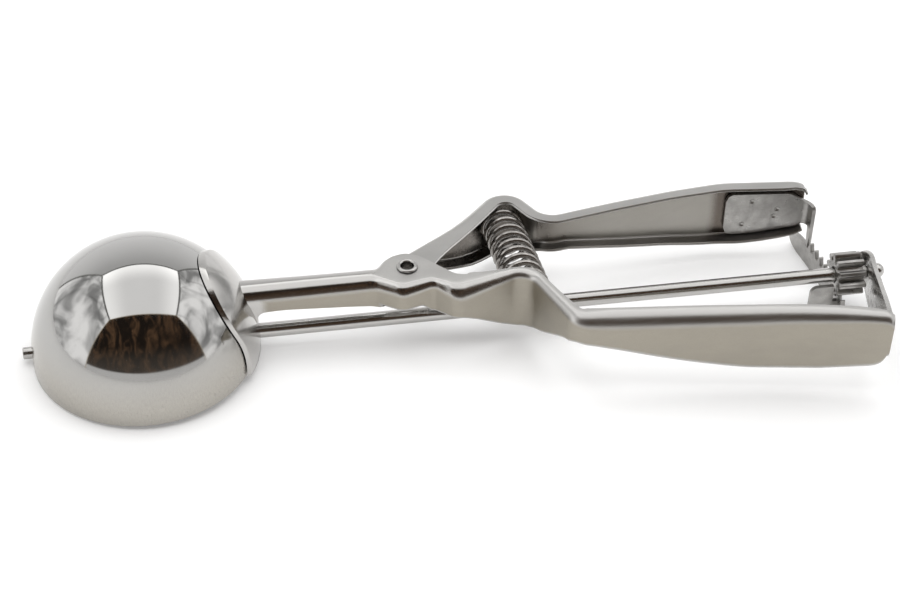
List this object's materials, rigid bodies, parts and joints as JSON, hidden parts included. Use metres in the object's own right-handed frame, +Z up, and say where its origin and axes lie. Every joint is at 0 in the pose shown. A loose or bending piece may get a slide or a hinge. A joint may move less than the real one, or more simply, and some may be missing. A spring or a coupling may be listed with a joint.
{
  "type": "squeeze-handle ice cream scoop",
  "caption": "Stainless ice cream scoop with a round bowl and spring-loaded squeeze handles that turn a scraper blade through a rack and pinion.",
  "frame": {"origin": "under the middle of the tool's bounding box, on the flat surface that it lies on", "axes": "+X from the bowl to the handle ends, +Z up, as the tool lies on its bowl rim and rack; the moving handle is on the +Y side"},
  "size_m": [0.2326, 0.0684, 0.0332],
  "materials": {
    "mirror_steel": "mirror polished stainless steel",
    "handle_steel": "polished edges with satin webs",
    "fitting_steel": "tumbled steel",
    "spring_steel": "drawn wire",
    "gear_steel": "stamped and cut steel",
    "rod_steel": "polished round bar",
    "blade_steel": "polished strip"
  },
  "bodies": {
    "frame": {"bowl": "mirror_steel", "fixed_handle": "handle_steel", "end_bracket": "fitting_steel", "pivot_rivet": "fitting_steel", "scraper_pin": "fitting_steel", "handle_spring": "spring_steel"},
    "lever": {"moving_handle": "handle_steel", "rack": "gear_steel"},
    "shaft": {"drive_rod": "rod_steel", "pinion": "gear_steel", "scraper_blade": "blade_steel"}
  },
  "joints": [
    {"name": "handle_hinge", "type": "hinge", "parent": "frame", "child": "lever", "pos_m": [-0.01587, 0.0046, 0.01811], "axis": [0.0418, 0, -0.9991], "range_deg": [0, 6.74], "stiffness_Nm_per_rad": 2.4, "springref_deg": -14.32, "deforming": ["handle_spring"]},
    {"name": "rod_turn", "type": "hinge", "parent": "frame", "child": "shaft", "pos_m": [0.01496, 0.003, 0.00839], "axis": [-0.9991, 0, -0.0418], "range_deg": [0, 161.4]}
  ],
  "couplings": [
    {"joint": "rod_turn", "follows": "handle_hinge", "ratio": 23.8}
  ]
}
